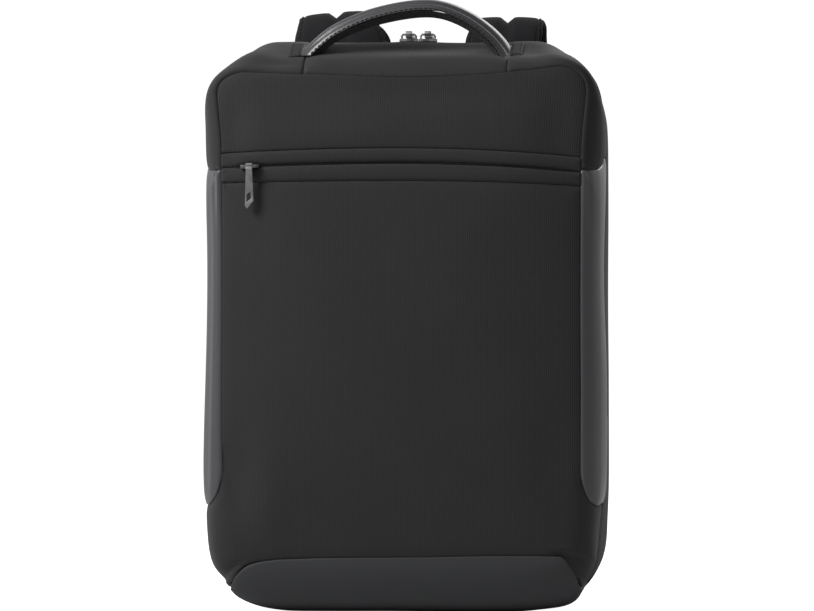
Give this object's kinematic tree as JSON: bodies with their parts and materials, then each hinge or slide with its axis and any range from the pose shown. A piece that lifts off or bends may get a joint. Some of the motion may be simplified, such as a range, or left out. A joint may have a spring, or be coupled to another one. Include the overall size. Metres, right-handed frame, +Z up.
{
  "type": "laptop backpack",
  "caption": "Slim laptop backpack with padded fabric front, coated side panels, zipped front pocket, padded top handle and padded shoulder straps, standing closed.",
  "frame": {"origin": "middle of the base's underside, on the surface that the bag stands on", "axes": "+Z up, the front faces -Y, +X to the right as seen from the front"},
  "size_m": [0.2982, 0.2001, 0.4518],
  "materials": {
    "body_fabric": "smooth padded knit with a very fine vertical rib, near black",
    "coated_side": "smooth coated cloth with a soft sheen, charcoal",
    "base_cloth": "smooth coated cloth, matt, charcoal",
    "strap_fabric": "matt padded cloth, near black",
    "back_mesh": "coarse air mesh, black",
    "zip_tape": "woven zip tape with a moulded coil, black",
    "webbing": "flat woven webbing, black",
    "zip_metal": "polished gunmetal",
    "lock_plastic": "moulded, fine texture, black"
  },
  "bodies": {
    "bag": {"base_panel": "base_cloth", "front_panel": "body_fabric", "front_top_panel": "body_fabric", "pocket_welt_upper": "body_fabric", "pocket_welt_lower": "body_fabric", "pocket_zip": "zip_tape", "pocket_slider": "zip_metal", "top_panel": "body_fabric", "top_cap_left": "body_fabric", "top_cap_right": "body_fabric", "side_panel_left": "coated_side", "side_panel_right": "coated_side", "main_zip": "zip_tape", "main_slider_left": "zip_metal", "main_slider_right": "zip_metal", "rear_gusset": "body_fabric", "back_panel": "back_mesh", "handle_cover": "coated_side", "handle_underside": "back_mesh", "handle_tab_left": "coated_side", "handle_tab_right": "coated_side", "shoulder_strap_left": "strap_fabric", "shoulder_strap_right": "strap_fabric", "lock_loop_left": "webbing", "lock_loop_right": "webbing", "ladder_lock_left": "lock_plastic", "ladder_lock_right": "lock_plastic", "strap_webbing_left": "webbing", "strap_webbing_right": "webbing", "anchor_tab_left": "strap_fabric", "anchor_tab_right": "strap_fabric"},
    "pocket_pull": {"pocket_puller": "zip_metal"},
    "main_pull_left": {"main_puller_left": "zip_metal"},
    "main_pull_right": {"main_puller_right": "zip_metal"}
  },
  "joints": [
    {"name": "pocket_pull_swing", "type": "hinge", "parent": "bag", "child": "pocket_pull", "pos_m": [-0.111, -0.07008, 0.32873], "axis": [-1, 0, 0], "range_deg": [0, 150]},
    {"name": "main_pull_left_swing", "type": "hinge", "parent": "bag", "child": "main_pull_left", "pos_m": [0.00095, 0.0065, 0.42705], "axis": [1, 0, 0], "range_deg": [0, 135]},
    {"name": "main_pull_right_swing", "type": "hinge", "parent": "bag", "child": "main_pull_right", "pos_m": [0.01505, 0.0065, 0.42705], "axis": [1, 0, 0], "range_deg": [0, 135]}
  ]
}
